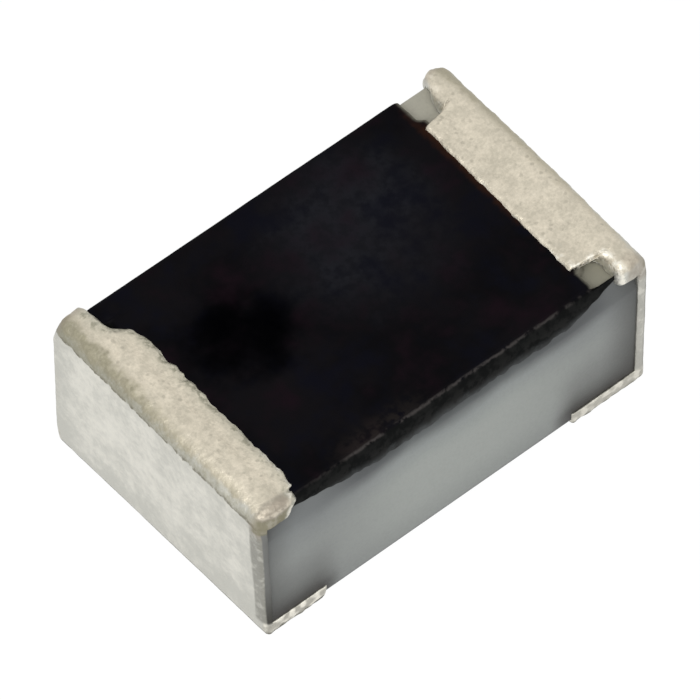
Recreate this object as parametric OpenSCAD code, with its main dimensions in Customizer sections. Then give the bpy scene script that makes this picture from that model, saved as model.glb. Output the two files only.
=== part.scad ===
// Thick film chip resistor: ceramic block, lapped film stack and two plated wrap-round terminals
// +X runs along the length, +Z is up, the origin is under the middle of the soldering pads

/* [Ceramic block] */
// Length of the ceramic block
sub_l = 1.91; // [1.80:0.01:2.10]
// Width of the ceramic block
sub_w = 1.25; // [1.15:0.01:1.40]
// Thickness of the ceramic block
sub_t = 0.72; // [0.40:0.01:0.76]
// Depth of the scribed groove that the upper edges are snapped along
scribe_depth = 0.11; // [0.05:0.01:0.15]
// Lean of the groove wall at the upper edges
scribe_run = 0.028; // [0.010:0.002:0.040]

/* [Printed electrodes] */
// Thickness of the printed top and bottom electrodes
print_t = 0.014; // [0.008:0.001:0.020]
// Length of a top electrode from the end of the block
top_print_l = 0.34; // [0.31:0.01:0.42]
// Bare flat top in front of the left plated land
left_front_bare = 0.005; // [0.003:0.001:0.100]
// Bare flat top behind the left plated land
left_back_bare = 0.089; // [0.003:0.001:0.120]
// Bare flat top in front of the right plated land
right_front_bare = 0.095; // [0.003:0.001:0.120]
// Bare flat top behind the right plated land
right_back_bare = 0.119; // [0.003:0.001:0.130]
// Bare edge beside a bottom electrode
bottom_inset = 0.02; // [0.01:0.005:0.05]

/* [Resistive film and coats] */
// Lap of the resistive film on each top electrode
film_lap = 0.075; // [0.050:0.005:0.090]
// Edge of the resistive film inside the narrowest side of the top electrodes
film_inset = 0.040; // [0.025:0.005:0.120]
// Thickness of the resistive film
film_t = 0.010; // [0.006:0.001:0.014]
// Thickness of the glass coat
glass_t = 0.008; // [0.005:0.001:0.012]
// Margin of the glass coat round the film
glass_margin = 0.014; // [0.008:0.002:0.020]
// Height of the black coat above the ceramic
resin_h = 0.045; // [0.042:0.001:0.055]
// Thickness of the black coat at the foot of its lip over the long edges
lip_t = 0.005; // [0.002:0.001:0.010]
// Radius along the upper long edges of the black coat
resin_round = 0.010; // [0.004:0.002:0.014]
// Edge of the black coat from the right end of the block
resin_right = 0.21; // [0.18:0.01:0.24]
// Edge of the black coat from the left end of the block, beside the left land
resin_left = 0.122; // [0.118:0.002:0.160]
// Width of the laser trim cut
trim_kerf = 0.035; // [0.020:0.005:0.060]
// Reach of the trim cut across the film
trim_reach = 0.36; // [0.20:0.02:0.50]
// Reach of the trim cut along the film
trim_run = 0.24; // [0.10:0.02:0.40]
// Place of the trim cut along the film
trim_x = -0.18; // [-0.30:0.02:0.00]

/* [Terminals] */
// Thickness of the edge electrode
edge_t = 0.012; // [0.008:0.001:0.016]
// Lap of the edge electrode over the top
edge_top_lap = 0.075; // [0.050:0.005:0.080]
// Lap of the edge electrode under the bottom
edge_low_lap = 0.16; // [0.10:0.01:0.20]
// Thickness of the nickel barrier
nickel_t = 0.010; // [0.006:0.001:0.012]
// Thickness of the tin on the end faces
tin_end_t = 0.023; // [0.018:0.001:0.030]
// Thickness of the tin on top
tin_top_t = 0.034; // [0.024:0.001:0.040]
// Least thickness of the tin under the pads
tin_low_t = 0.012; // [0.008:0.001:0.020]
// Spread of the tin past the nickel on bare ceramic
tin_spread = 0.028; // [0.020:0.002:0.032]
// Stand of the nickel past the long sides
nickel_side = 0.004; // [0.002:0.001:0.006]
// Stand of the tin past the nickel at the long sides
tin_side = 0.008; // [0.006:0.001:0.012]
// Lap of the nickel on the long sides
nickel_lap = 0.012; // [0.008:0.002:0.016]
// Lap of the tin on the long sides
tin_lap = 0.030; // [0.024:0.002:0.040]
// Tin from the left end to where the left land meets the black coat
left_band = 0.245; // [0.22:0.005:0.27]
// Mean length of a soldering pad from the end
pad_l = 0.355; // [0.30:0.005:0.45]
// Offset of the pads' gap along the length
pad_offset = -0.035; // [-0.050:0.005:0.050]
// Outer radius of the tin at the upper end edges
tin_round_top = 0.075; // [0.060:0.005:0.085]
// Outer radius of the tin at the lower end edges
tin_round_low = 0.050; // [0.040:0.005:0.055]
// Outer radius of the tin along the upper long edges
tin_side_round_top = 0.060; // [0.040:0.005:0.065]
// Outer radius of the tin along the lower long edges
tin_side_round_low = 0.025; // [0.015:0.005:0.030]
// Outer radius of the tin at the upright edges
tin_plan_round = 0.050; // [0.030:0.005:0.055]
// Radius of the tin at the inboard edges of strip, land and pad
tin_brow = 0.012; // [0.008:0.002:0.018]

/* [Hidden] */
$fn = 48;

// The three wrap-round layers, from the inside out
EDGE = 0;
NICKEL = 1;
TIN = 2;
LEFT = 0;
RIGHT = 1;

// Planes of the ceramic block
sub_end = sub_l / 2;
sub_side = sub_w / 2;
sub_low = print_t + edge_t + nickel_t + tin_low_t;
sub_top = sub_low + sub_t;
sub_mid = (sub_low + sub_top) / 2;

// Outer planes of each wrap-round layer: end, upper, lower and long side
end_x = [sub_end + edge_t, sub_end + edge_t + nickel_t, sub_end + edge_t + nickel_t + tin_end_t];
high_z = [
    sub_top + print_t + edge_t,
    sub_top + print_t + edge_t + nickel_t,
    sub_top + print_t + edge_t + nickel_t + tin_top_t
];
low_z = [sub_low - print_t - edge_t, sub_low - print_t - edge_t - nickel_t, 0];
side_y = [sub_side, sub_side + nickel_side, sub_side + nickel_side + tin_side];

// Spread of each layer over bare ceramic, on the top and bottom and on the long sides
spread = [0, nickel_t, nickel_t + tin_spread];
side_lap = [0, nickel_lap, tin_lap];

// Radii of the edge electrode, which the nickel follows at its own thickness
edge_round_top = 0.035;
edge_round_low = 0.020;
edge_brow = 0.004;

// Outer radii of each layer: end edges, long edges, upright edges and inboard edges
round_top = [edge_round_top, edge_round_top + nickel_t, tin_round_top];
round_low = [edge_round_low, edge_round_low + nickel_t, tin_round_low];
round_side_top = [edge_brow, edge_brow + nickel_t, tin_side_round_top];
round_side_low = [edge_brow, edge_brow + nickel_t, tin_side_round_low];
round_plan = [edge_brow, edge_brow + nickel_t, tin_plan_round];
round_brow = [edge_brow, edge_brow, tin_brow];

// Inner corners of the C on the long sides
window_round = 0.02;

// The plated lands on top: height of nickel and tin, sides, inboard ends
land_z = [sub_top + print_t, sub_top + print_t + nickel_t, sub_top + print_t + nickel_t + tin_top_t];
top_side = sub_side - scribe_run;
land_front = [left_front_bare - top_side, right_front_bare - top_side];
land_back = [top_side - left_back_bare, top_side - right_back_bare];
land_in = [end_x[TIN] - left_band, sub_end - resin_right];
pad_in = [end_x[TIN] - pad_l - pad_offset, end_x[TIN] - pad_l + pad_offset];
pad_wrap = 0.008;

// The resistive film runs from electrode to electrode, inside their narrowest side
widest_bare = max(left_front_bare, left_back_bare, right_front_bare, right_back_bare);
film_end = sub_end - top_print_l + film_lap;
film_side = top_side - widest_bare - spread[TIN] - film_inset;

// Ends of the black coat along the length
resin_x0 = -sub_end + resin_left;
resin_x1 = sub_end - resin_right;

// Upright outlines across the width are pushed along the length, and the other way about
module along_x(length) {
    rotate([90, 0, 90])
        linear_extrude(height = length, center = true)
            children();
}

module along_y(length) {
    rotate([90, 0, 0])
        linear_extrude(height = length, center = true)
            children();
}

module block(x0, x1, y0, y1, z0, z1) {
    translate([x0, y0, z0])
        cube([x1 - x0, y1 - y0, z1 - z0]);
}

// The waste outside a rounded corner whose sides meet at the origin and run towards -x and -y
module corner_waste(r) {
    translate([-r, -r])
        difference() {
            square(2 * r);
            circle(r);
        }
}

// Rectangle about the middle line with rounded corners, lower and upper radii apart
module soft_rect(half, y0, y1, r_low, r_high) {
    difference() {
        translate([-half, y0])
            square([2 * half, y1 - y0]);
        for (side = [0, 1])
            mirror([side, 0]) {
                translate([half, y1])
                    corner_waste(r_high);
                if (r_low > 0)
                    translate([half, y0])
                        mirror([0, 1])
                            corner_waste(r_low);
            }
    }
}

// Upright outline of the block with a groove wall at each upper edge
module scribed_outline(half) {
    polygon([
        [-half, sub_low], [half, sub_low], [half, sub_top - scribe_depth], [half - scribe_run, sub_top],
        [-half + scribe_run, sub_top], [-half, sub_top - scribe_depth]
    ]);
}

module block_body() {
    intersection() {
        along_x(sub_l)
            scribed_outline(sub_side);
        along_y(sub_w)
            scribed_outline(sub_end);
    }
}

// Outer form that one wrap-round layer would have if it went all round the part
module layer_form(layer) {
    x = end_x[layer];
    y = side_y[layer];
    z0 = low_z[layer];
    z1 = high_z[layer];
    intersection() {
        along_y(2 * y)
            soft_rect(x, z0, z1, round_low[layer], round_top[layer]);
        along_x(2 * x)
            soft_rect(y, z0, z1, round_side_low[layer], round_side_top[layer]);
        translate([0, 0, z0])
            linear_extrude(height = z1 - z0)
                soft_rect(x, -y, y, round_plan[layer], round_plan[layer]);
    }
}

// Upright outline of the C that a layer keeps at the right end: strip on top, end face and pad
module wrap_outline(layer, pad_x) {
    strip_x = sub_end - edge_top_lap - spread[layer];
    lap = side_lap[layer];
    difference() {
        union() {
            translate([strip_x, sub_mid])
                square([sub_end, sub_t]);
            translate([pad_x, sub_mid - sub_t])
                square([sub_end, sub_t]);
        }
        soft_rect(sub_end - lap, sub_low + lap, sub_top - lap, window_round, window_round);
        translate([strip_x, high_z[layer]])
            mirror([1, 0])
                corner_waste(round_brow[layer]);
        translate([pad_x, low_z[layer]])
            rotate(180)
                corner_waste(round_brow[layer]);
    }
}

// One layer's wrap, solid through to the ceramic, at the right end
module wrap(layer, end) {
    pad_x = layer == EDGE ? sub_end - edge_low_lap : pad_in[end] + (TIN - layer) * pad_wrap;
    intersection() {
        layer_form(layer);
        along_y(2 * sub_w)
            wrap_outline(layer, pad_x);
    }
}

// One layer's land over the top electrode, from the black coat outwards, at the right end
// This and the other forms on top sink into the block, and each layer is cut back to its surface
module land(layer, end) {
    middle = (land_front[end] + land_back[end]) / 2;
    half = land_back[end] - middle - spread[TIN] + spread[layer];
    length = sub_end - scribe_run - land_in[end];
    translate([land_in[end] + length / 2, middle, 0])
        along_x(length)
            soft_rect(half, sub_mid, land_z[layer], 0, round_brow[layer]);
}

// A plated layer as a solid, at the right end
module plated(layer, end) {
    wrap(layer, end);
    land(layer, end);
}

// Turn what is drawn at the right end to the end that it belongs to
module at_end(end) {
    mirror([end == LEFT ? 1 : 0, 0, 0])
        children();
}

module top_print(end) {
    front = land_front[end] + spread[TIN];
    back = land_back[end] - spread[TIN];
    block(sub_end - top_print_l, sub_end - scribe_run, front, back, sub_mid, land_z[EDGE]);
}

module low_print(end) {
    half = sub_side - bottom_inset;
    block(pad_in[end] + 2 * pad_wrap, sub_end, -half, half, sub_low - print_t, sub_low);
}

module both_prints(end) {
    top_print(end);
    low_print(end);
}

// A layer of the film stack, lying on the ceramic and stepping up over the electrodes' inner ends
module lapped(margin, height) {
    inner = sub_end - top_print_l - height;
    outer = film_end + margin;
    side = film_side + margin;
    block(-outer, outer, -side, side, sub_mid, sub_top + height);
    for (turn = [0, 1])
        mirror([turn, 0, 0])
            block(inner, outer, -side, side, sub_mid, sub_top + print_t + height);
}

module film_form() {
    lapped(0, film_t);
}

module glass_form() {
    lapped(glass_margin, film_t + glass_t);
}

// The L that the trimming laser cuts through glass and film
module trim_path() {
    edge = -film_side - glass_margin;
    cut_end = -film_side + trim_reach;
    above = sub_top + print_t + film_t + glass_t;
    block(trim_x, trim_x + trim_kerf, edge, cut_end, sub_mid, above);
    block(trim_x, trim_x + trim_run, cut_end - trim_kerf, cut_end, sub_mid, above);
}

// Outline of the black coat across the width: flat top, rounded long edges, lips in the scribed grooves
module resin_outline() {
    foot_y = sub_side + lip_t;
    foot_z = sub_top - scribe_depth;
    shoulder_y = top_side + lip_t;
    shoulder_z = sub_top + resin_h - resin_round;
    polygon([[-foot_y, foot_z], [foot_y, foot_z], [shoulder_y, shoulder_z], [-shoulder_y, shoulder_z]]);
    soft_rect(shoulder_y, sub_top, sub_top + resin_h, 0, resin_round);
}

module ceramic_substrate() {
    color([0.62, 0.65, 0.66])
        block_body();
}

module resistive_film() {
    color([0.10, 0.11, 0.13])
        difference() {
            film_form();
            block_body();
            at_end(LEFT) top_print(LEFT);
            at_end(RIGHT) top_print(RIGHT);
            trim_path();
        }
}

module glass_coat() {
    color([0.20, 0.34, 0.30])
        difference() {
            glass_form();
            film_form();
            block_body();
            at_end(LEFT) top_print(LEFT);
            at_end(RIGHT) top_print(RIGHT);
            trim_path();
        }
}

module resin_coat() {
    color([0.05, 0.05, 0.06])
        difference() {
            translate([(resin_x0 + resin_x1) / 2, 0, 0])
                along_x(resin_x1 - resin_x0)
                    resin_outline();
            block_body();
            difference() {
                glass_form();
                trim_path();
            }
            for (end = [LEFT, RIGHT])
                at_end(end) {
                    top_print(end);
                    land(TIN, end);
                }
        }
}

module top_electrode(end) {
    color([0.78, 0.76, 0.72])
        at_end(end)
            difference() {
                top_print(end);
                block_body();
            }
}

module bottom_electrode(end) {
    color([0.78, 0.76, 0.72])
        at_end(end)
            low_print(end);
}

module edge_electrode(end) {
    color([0.55, 0.54, 0.52])
        at_end(end)
            difference() {
                wrap(EDGE, end);
                block_body();
                both_prints(end);
            }
}

module nickel_barrier(end) {
    color([0.70, 0.69, 0.64])
        at_end(end)
            difference() {
                plated(NICKEL, end);
                wrap(EDGE, end);
                block_body();
                both_prints(end);
            }
}

module tin_plating(end) {
    color([0.84, 0.84, 0.80])
        at_end(end)
            difference() {
                plated(TIN, end);
                plated(NICKEL, end);
                wrap(EDGE, end);
                block_body();
                both_prints(end);
            }
}

ceramic_substrate();
resistive_film();
glass_coat();
resin_coat();
top_electrode(LEFT);  // top_electrode_left
top_electrode(RIGHT);  // top_electrode_right
bottom_electrode(LEFT);  // bottom_electrode_left
bottom_electrode(RIGHT);  // bottom_electrode_right
edge_electrode(LEFT);  // edge_electrode_left
edge_electrode(RIGHT);  // edge_electrode_right
nickel_barrier(LEFT);  // nickel_barrier_left
nickel_barrier(RIGHT);  // nickel_barrier_right
tin_plating(LEFT);  // tin_plating_left
tin_plating(RIGHT);  // tin_plating_right
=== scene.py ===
"""Looks of a thick film chip resistor: ceramic block, black coat and tin plated ends."""

import logging
import math
from dataclasses import dataclass
from enum import Enum
from typing import Any

import bmesh
import bpy
import numpy as np
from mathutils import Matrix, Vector, noise


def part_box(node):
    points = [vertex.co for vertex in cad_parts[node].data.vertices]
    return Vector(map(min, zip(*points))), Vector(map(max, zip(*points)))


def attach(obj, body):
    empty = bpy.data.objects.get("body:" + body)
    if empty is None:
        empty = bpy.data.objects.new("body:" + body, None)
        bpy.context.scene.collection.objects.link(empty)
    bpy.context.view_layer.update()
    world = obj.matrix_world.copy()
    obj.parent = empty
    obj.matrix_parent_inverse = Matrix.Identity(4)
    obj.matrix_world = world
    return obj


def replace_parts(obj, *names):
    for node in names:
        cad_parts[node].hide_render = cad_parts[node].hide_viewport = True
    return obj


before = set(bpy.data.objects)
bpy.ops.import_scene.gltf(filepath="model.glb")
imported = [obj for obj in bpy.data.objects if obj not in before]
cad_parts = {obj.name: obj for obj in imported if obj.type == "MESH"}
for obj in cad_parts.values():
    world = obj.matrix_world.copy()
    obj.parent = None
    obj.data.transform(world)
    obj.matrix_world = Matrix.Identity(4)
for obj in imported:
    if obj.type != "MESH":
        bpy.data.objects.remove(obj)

log = logging.getLogger("chip_resistor")

MM = 0.001
BODY = "root"
MERGE_DISTANCE = 1e-10
TINY = 1e-9

Colour = tuple[float, float, float, float]
# Where a tone or form begins and where it is complete
Band = tuple[float, float]


class End(Enum):
    """The two ends of the chip, by the sign of their X."""

    LEFT = -1
    RIGHT = 1

    @property
    def word(self) -> str:
        """The end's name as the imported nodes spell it."""
        return self.name.lower()


@dataclass(frozen=True)
class Box:
    """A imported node's box in millimetres."""

    low: np.ndarray
    high: np.ndarray

    @classmethod
    def of(cls, node: str) -> "Box":
        """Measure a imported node.

        Args:
            node: Name of the node.

        Returns:
            The node's box.
        """
        low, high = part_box(node)
        return cls(np.array(low) / MM, np.array(high) / MM)


def under(level: float, band: Band) -> Band:
    """Turn depths below a level into places."""
    return level - band[0], level - band[1]


def above(level: float, band: Band) -> Band:
    """Turn distances above a level into places."""
    return level + band[0], level + band[1]


def ease(value: np.ndarray, start: float, stop: float) -> np.ndarray:
    """Smooth step from 0 at start to 1 at stop.

    Args:
        value: Numbers to map.
        start: Where the step begins.
        stop: Where the step is complete.

    Returns:
        Numbers from 0 to 1.
    """
    share = np.clip((value - start) / (stop - start), 0.0, 1.0)
    return share * share * (3.0 - 2.0 * share)


def brow(distance: np.ndarray, radius: float | np.ndarray) -> np.ndarray:
    """Height of a quarter round edge, as a share, by the distance from its foot."""
    return np.sqrt(1.0 - (1.0 - np.clip(distance / radius, 0.0, 1.0)) ** 2)


def ripple(places: np.ndarray, pitch: float, seed: float) -> np.ndarray:
    """Smooth noise of about -1 to 1.

    Args:
        places: Points in millimetres, coordinates last.
        pitch: Mean distance from bump to bump in millimetres.
        seed: Offset that makes one ripple differ from another.

    Returns:
        One number a point.
    """
    flat = places.reshape(-1, 3) / pitch + seed
    return np.array([noise.noise(Vector(p)) for p in flat]).reshape(places.shape[:-1])


def line_ripple(values: np.ndarray, pitch: float, seed: float) -> np.ndarray:
    """Smooth noise along one coordinate.

    Args:
        values: Coordinates in millimetres.
        pitch: Mean distance from bump to bump in millimetres.
        seed: Offset that makes one ripple differ from another.

    Returns:
        One number a coordinate.
    """
    blank = np.zeros_like(values)
    return ripple(np.stack([values, blank, blank], axis=-1), pitch, seed)


@dataclass(frozen=True)
class Wave:
    """Smooth noise of a given height, pitch in millimetres and seed."""

    height: float
    pitch: float
    seed: float

    def along(self, values: np.ndarray) -> np.ndarray:
        """Its heights along one coordinate."""
        return self.height * line_ripple(values, self.pitch, self.seed)

    def over(self, places: np.ndarray) -> np.ndarray:
        """Its heights at points in space."""
        return self.height * ripple(places, self.pitch, self.seed)


def rim_distance(x: np.ndarray, v: np.ndarray, rim_x: np.ndarray, rim_v: np.ndarray) -> np.ndarray:
    """Distance of laid out points from a rim line.

    Args:
        x: Points' first coordinate.
        v: Points' second coordinate.
        rim_x: First coordinate of the rim's corners, in order.
        rim_v: Second coordinate of the rim's corners, in order.

    Returns:
        Least distance of each point.
    """
    fine = np.linspace(0, len(rim_x) - 1, 4 * len(rim_x))
    steps = np.arange(len(rim_x))
    line_x = np.interp(fine, steps, rim_x)
    line_v = np.interp(fine, steps, rim_v)
    rows = [np.hypot(a[:, None] - line_x, b[:, None] - line_v).min(axis=1) for a, b in zip(x, v)]
    return np.stack(rows)


def along_runs(corners: list[np.ndarray], run: np.ndarray, share: np.ndarray) -> np.ndarray:
    """Places on lines of straight runs, one line a column.

    Args:
        corners: Corner places in order, each of shape (columns, 3).
        run: Index of the run that each row lies on.
        share: Place of each row along its run, from 0 to 1.

    Returns:
        Places of shape (rows, columns, 3).
    """
    line = np.stack(corners)
    begin, finish = line[run], line[run + 1]
    return begin + (finish - begin) * share[:, None, None]


def rounded(
    places: np.ndarray, low: np.ndarray, high: np.ndarray, radius: np.ndarray
) -> tuple[np.ndarray, np.ndarray]:
    """Round the edges of a box.

    Args:
        places: Points on the faces of the sharp box.
        low: Lowest corner of the box.
        high: Highest corner of the box.
        radius: Edge radii along each axis, alike or one set a point.

    Returns:
        The rounded places and the outward normals there.
    """
    core = np.clip(places, low + radius, high - radius)
    lean = (places - core) / radius
    unit = lean / np.maximum(np.linalg.norm(lean, axis=-1, keepdims=True), TINY)
    normal = unit / radius
    normal /= np.maximum(np.linalg.norm(normal, axis=-1, keepdims=True), TINY)
    return core + unit * radius, normal


def closed_sheet(
    name: str, outer: np.ndarray, inner: np.ndarray, marks: dict[str, np.ndarray]
) -> bpy.types.Object:
    """Make a laid on layer from two grids whose borders coincide.

    Args:
        name: Name of the piece.
        outer: Places of the outer face in millimetres, of shape (rows, columns, 3).
        inner: Places of the inner face, of the same shape.
        marks: Values from 0 to 1 that are kept as vertex attributes, by name.

    Returns:
        The piece.
    """
    rows, columns = outer.shape[:2]
    bm = bmesh.new()
    layers = {key: bm.verts.layers.float.new(key) for key in marks}
    borders = []
    for sheet in (outer, inner):
        made = bmesh.ops.create_grid(bm, x_segments=rows - 1, y_segments=columns - 1, size=1.0)
        for vert in made["verts"]:
            row = round((vert.co.x + 1.0) / 2.0 * (rows - 1))
            column = round((vert.co.y + 1.0) / 2.0 * (columns - 1))
            vert.co = Vector(sheet[row, column] * MM)
            for key, layer in layers.items():
                vert[layer] = marks[key][row, column]
            if row in (0, rows - 1) or column in (0, columns - 1):
                borders.append(vert)
    bmesh.ops.remove_doubles(bm, verts=borders, dist=MERGE_DISTANCE)
    bmesh.ops.recalc_face_normals(bm, faces=bm.faces)
    return piece_from(bm, name)


def piece_from(bm: bmesh.types.BMesh, name: str) -> bpy.types.Object:
    """Turn a bmesh into a smooth shaded piece that rides on the part.

    Args:
        bm: The finished bmesh, which is freed.
        name: Name of the piece.

    Returns:
        The piece.
    """
    for face in bm.faces:
        face.smooth = True
    mesh = bpy.data.meshes.new(name)
    bm.to_mesh(mesh)
    bm.free()
    piece = bpy.data.objects.new(name, mesh)
    bpy.context.scene.collection.objects.link(piece)
    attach(piece, BODY)
    return piece


class Shade:
    """A value in a material, with arithmetic that adds Math nodes."""

    def __init__(self, graph: "Graph", socket: bpy.types.NodeSocket) -> None:
        """Wrap one output socket of a graph."""
        self.graph = graph
        self.socket = socket

    def _math(self, operation: str, first: "Shade | float", second: "Shade | float" = 0.0) -> "Shade":
        """Add one Math node.

        Args:
            operation: Name of the Math operation.
            first: First value or Shade.
            second: Second value or Shade.

        Returns:
            The result.
        """
        return self.graph.node("ShaderNodeMath", {"operation": operation}, {0: first, 1: second})

    def __add__(self, other: "Shade | float") -> "Shade":
        """Sum with a number or Shade."""
        return self._math("ADD", self, other)

    def __sub__(self, other: "Shade | float") -> "Shade":
        """Difference from a number or Shade."""
        return self._math("SUBTRACT", self, other)

    def __rsub__(self, other: "Shade | float") -> "Shade":
        """Difference of a number and this value."""
        return self._math("SUBTRACT", other, self)

    def __mul__(self, other: "Shade | float") -> "Shade":
        """Product with a number or Shade."""
        return self._math("MULTIPLY", self, other)

    def __truediv__(self, other: "Shade | float") -> "Shade":
        """Quotient by a number or Shade."""
        return self._math("DIVIDE", self, other)

    def __rtruediv__(self, other: "Shade | float") -> "Shade":
        """Quotient of a number and this value."""
        return self._math("DIVIDE", other, self)

    def __abs__(self) -> "Shade":
        """Value without its sign."""
        return self._math("ABSOLUTE", self)

    def __or__(self, other: "Shade | float") -> "Shade":
        """The larger of two values."""
        return self._math("MAXIMUM", self, other)

    __radd__ = __add__
    __rmul__ = __mul__
    __ror__ = __or__

    def step(self, start: float, stop: float) -> "Shade":
        """Smooth step of this value.

        Args:
            start: Value that gives 0.
            stop: Value that gives 1.

        Returns:
            A value from 0 to 1.
        """
        low, high = min(start, stop), max(start, stop)
        ends = (0.0, 1.0) if start < stop else (1.0, 0.0)
        sockets = {"Value": self, "From Min": low, "From Max": high, "To Min": ends[0], "To Max": ends[1]}
        return self.graph.node("ShaderNodeMapRange", {"interpolation_type": "SMOOTHSTEP"}, sockets)


class Graph:
    """The node tree of one finish, lamp or backdrop."""

    def __init__(self, tree: bpy.types.NodeTree) -> None:
        """Start from an empty tree."""
        self.tree = tree
        self.tree.nodes.clear()

    def node(
        self, kind: str, settings: dict[str, Any], sockets: dict[Any, Any], output: Any = 0
    ) -> Shade | None:
        """Add any node.

        Args:
            kind: Blender's type name of the node.
            settings: Properties that are set first.
            sockets: Values or Shades for the inputs, by index, name or identifier.
            output: Index or name of the output that is wanted.

        Returns:
            That output, or nothing where the node has none.
        """
        made = self.tree.nodes.new(kind)
        for key, value in settings.items():
            setattr(made, key, value)
        for key, value in sockets.items():
            socket = self._find(made.inputs, key)
            if isinstance(value, Shade):
                self.tree.links.new(value.socket, socket)
            else:
                socket.default_value = value
        return Shade(self, self._find(made.outputs, output)) if len(made.outputs) else None

    @staticmethod
    def _find(sockets: Any, key: Any) -> bpy.types.NodeSocket:
        """Find a socket by index, identifier or name.

        Args:
            sockets: Inputs or outputs of a node.
            key: Index, identifier or name.

        Returns:
            The socket.
        """
        if isinstance(key, int):
            return sockets[key]
        known = {socket.identifier: socket for socket in sockets}
        return known[key] if key in known else sockets[key]

    def millimetres(self) -> Shade:
        """Object coordinates in millimetres."""
        place = self.node("ShaderNodeTexCoord", {}, {}, "Object")
        return self.node("ShaderNodeVectorMath", {"operation": "SCALE"}, {0: place, "Scale": 1.0 / MM})

    def mark(self, name: str) -> Shade:
        """A vertex attribute of the piece."""
        return self.node("ShaderNodeAttribute", {"attribute_name": name}, {}, "Fac")

    def axes(self, vector: Shade) -> tuple[Shade, Shade, Shade]:
        """Split a vector into its three values.

        Args:
            vector: The vector.

        Returns:
            X, Y and Z.
        """
        split = self.node("ShaderNodeSeparateXYZ", {}, {0: vector})
        outputs = split.socket.node.outputs
        return Shade(self, outputs[0]), Shade(self, outputs[1]), Shade(self, outputs[2])

    def grain(self, vector: Shade, per_mm: float, detail: float, rough: float) -> Shade:
        """Noise from 0 to 1.

        Args:
            vector: Coordinates in millimetres.
            per_mm: Bumps a millimetre.
            detail: Octaves of finer noise.
            rough: Weight of the finer noise.

        Returns:
            The noise value.
        """
        sockets = {"Vector": vector, "Scale": per_mm, "Detail": detail, "Roughness": rough}
        return self.node("ShaderNodeTexNoise", {}, sockets)

    def mix(self, factor: Shade | float, first: Shade | Colour, second: Shade | Colour) -> Shade:
        """Blend two colours.

        Args:
            factor: Share of the second colour.
            first: Colour or Shade at 0.
            second: Colour or Shade at 1.

        Returns:
            The blended colour.
        """
        sockets = {"Factor_Float": factor, "A_Color": first, "B_Color": second}
        return self.node("ShaderNodeMix", {"data_type": "RGBA"}, sockets, "Result_Color")

    def bump(self, height: Shade, depth_mm: float) -> Shade:
        """Turn a height into a normal.

        Args:
            height: Height from 0 to 1.
            depth_mm: What a height of 1 stands for in millimetres.

        Returns:
            The normal.
        """
        return self.node("ShaderNodeBump", {}, {"Height": height, "Distance": depth_mm * MM})


def rgb(red: float, green: float, blue: float) -> Colour:
    """Linear colour with full alpha."""
    return (red, green, blue, 1.0)


def grey(value: float) -> Colour:
    """Linear neutral colour."""
    return rgb(value, value, value)


def material(name: str) -> tuple[bpy.types.Material, Graph]:
    """Make an empty material.

    Args:
        name: Name of the material.

    Returns:
        The material and its graph.
    """
    made = bpy.data.materials.new(name)
    made.use_nodes = True
    return made, Graph(made.node_tree)


def dress(piece: bpy.types.Object, finish: bpy.types.Material) -> None:
    """Give a piece one material."""
    piece.data.materials.clear()
    piece.data.materials.append(finish)


class Paint:
    """A material that is laid on colour over colour, by places in millimetres."""

    def __init__(self, name: str, ground: Colour) -> None:
        """Start a material.

        Args:
            name: Name of the material.
            ground: Colour that lies under all others.
        """
        self.made, self.g = material(name)
        self.place = self.g.millimetres()
        self.x, self.y, self.z = self.g.axes(self.place)
        self.colour: Shade | Colour = ground

    def grain(self, per_mm: float, detail: float, rough: float = 0.5) -> Shade:
        """Noise over the piece, as Graph.grain gives it."""
        return self.g.grain(self.place, per_mm, detail, rough)

    def over(self, share: Shade | float, colour: Shade | Colour) -> None:
        """Lay a colour, by its share, over what is there."""
        self.colour = self.g.mix(share, self.colour, colour)

    def done(self, sockets: dict[str, Any]) -> bpy.types.Material:
        """Close the material with one principled shader.

        Args:
            sockets: Values or Shades for the shader's inputs beside the colour.

        Returns:
            The material.
        """
        shader = self.g.node("ShaderNodeBsdfPrincipled", {}, {"Base Color": self.colour, **sockets})
        self.g.node("ShaderNodeOutputMaterial", {}, {"Surface": shader})
        return self.made


@dataclass(frozen=True)
class PadShadow:
    """A dark patch over the pads: where it fades, how much its border wavers and how strong it is."""

    fade: Band
    waver: float
    share: float


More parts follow.
